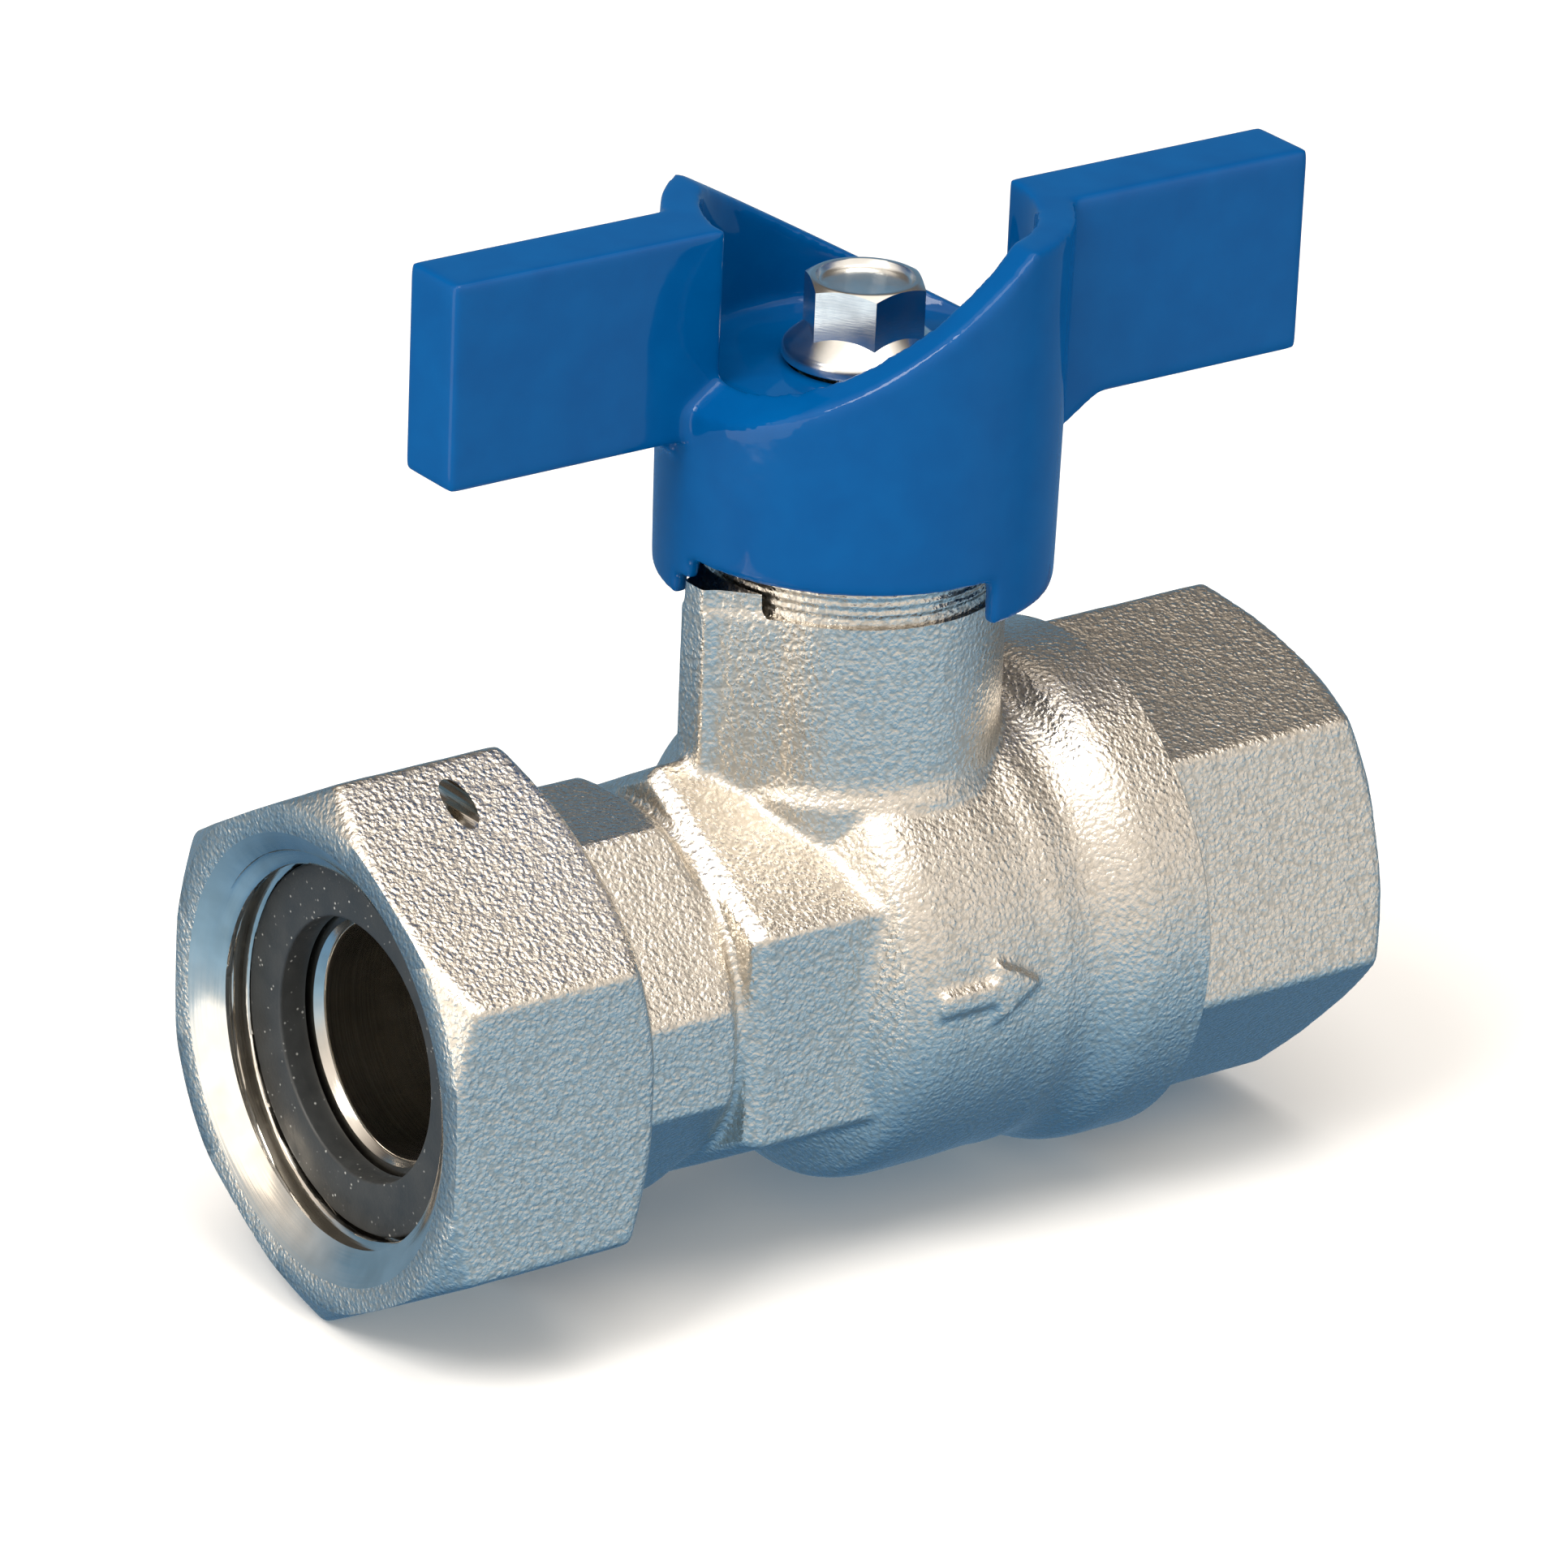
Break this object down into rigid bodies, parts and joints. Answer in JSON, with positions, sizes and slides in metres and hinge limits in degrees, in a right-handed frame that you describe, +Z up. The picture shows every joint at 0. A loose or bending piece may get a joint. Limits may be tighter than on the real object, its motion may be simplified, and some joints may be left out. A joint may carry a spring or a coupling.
{
  "type": "water shutoff valve",
  "caption": "Quarter-turn ball valve for a water meter: swivel union nut at one end, female pipe thread at the other, wing handle on a stem tower.",
  "frame": {"origin": "where the stem axis crosses the pipe axis, at the centre of the ball", "axes": "+X along the pipe run from the union nut to the female pipe end, +Z up the stem to the handle"},
  "size_m": [0.0734, 0.034, 0.0677],
  "materials": {
    "nickel_plated_brass": "nickel plated, shot blasted as forged, machined ends bright",
    "chromed_brass": "polished",
    "brass": "turned",
    "blue_enamel": "gloss enamel on a die casting",
    "zinc_steel": "bright zinc plated",
    "spring_wire": "drawn wire",
    "ptfe": "smooth white",
    "o_ring_rubber": "smooth moulded",
    "gasket_rubber": "dull, flecked sheet"
  },
  "bodies": {
    "valve": {"valve_body": "nickel_plated_brass", "end_adapter": "nickel_plated_brass", "adapter_o_ring": "o_ring_rubber", "seat_meter_side": "ptfe", "seat_pipe_side": "ptfe", "thrust_washer": "ptfe", "packing_ring": "ptfe", "gland_nut": "brass", "meter_gasket": "gasket_rubber"},
    "handle_set": {"handle": "blue_enamel", "handle_screw": "zinc_steel", "stem": "brass", "stem_o_ring_lower": "o_ring_rubber", "stem_o_ring_upper": "o_ring_rubber"},
    "ball": {"ball": "chromed_brass"},
    "nut_ring": {"nut_retaining_ring": "spring_wire"},
    "nut": {"swivel_nut": "nickel_plated_brass"}
  },
  "joints": [
    {"name": "handle_turn", "type": "hinge", "parent": "valve", "child": "handle_set", "pos_m": [0, 0, 0.03], "axis": [0, 0, 1], "range_deg": [-90, 0]},
    {"name": "ball_turn", "type": "hinge", "parent": "valve", "child": "ball", "pos_m": [0, 0, 0], "axis": [0, 0, 1], "range_deg": [-90, 0]},
    {"name": "nut_slide", "type": "slide", "parent": "valve", "child": "nut_ring", "axis": [-1, 0, 0], "range_m": [0, 0.003]},
    {"name": "nut_spin", "type": "hinge", "parent": "nut_ring", "child": "nut", "pos_m": [-0.0285, 0, 0], "axis": [-1, 0, 0], "continuous": true}
  ],
  "couplings": [
    {"joint": "ball_turn", "follows": "handle_turn", "ratio": 1}
  ]
}
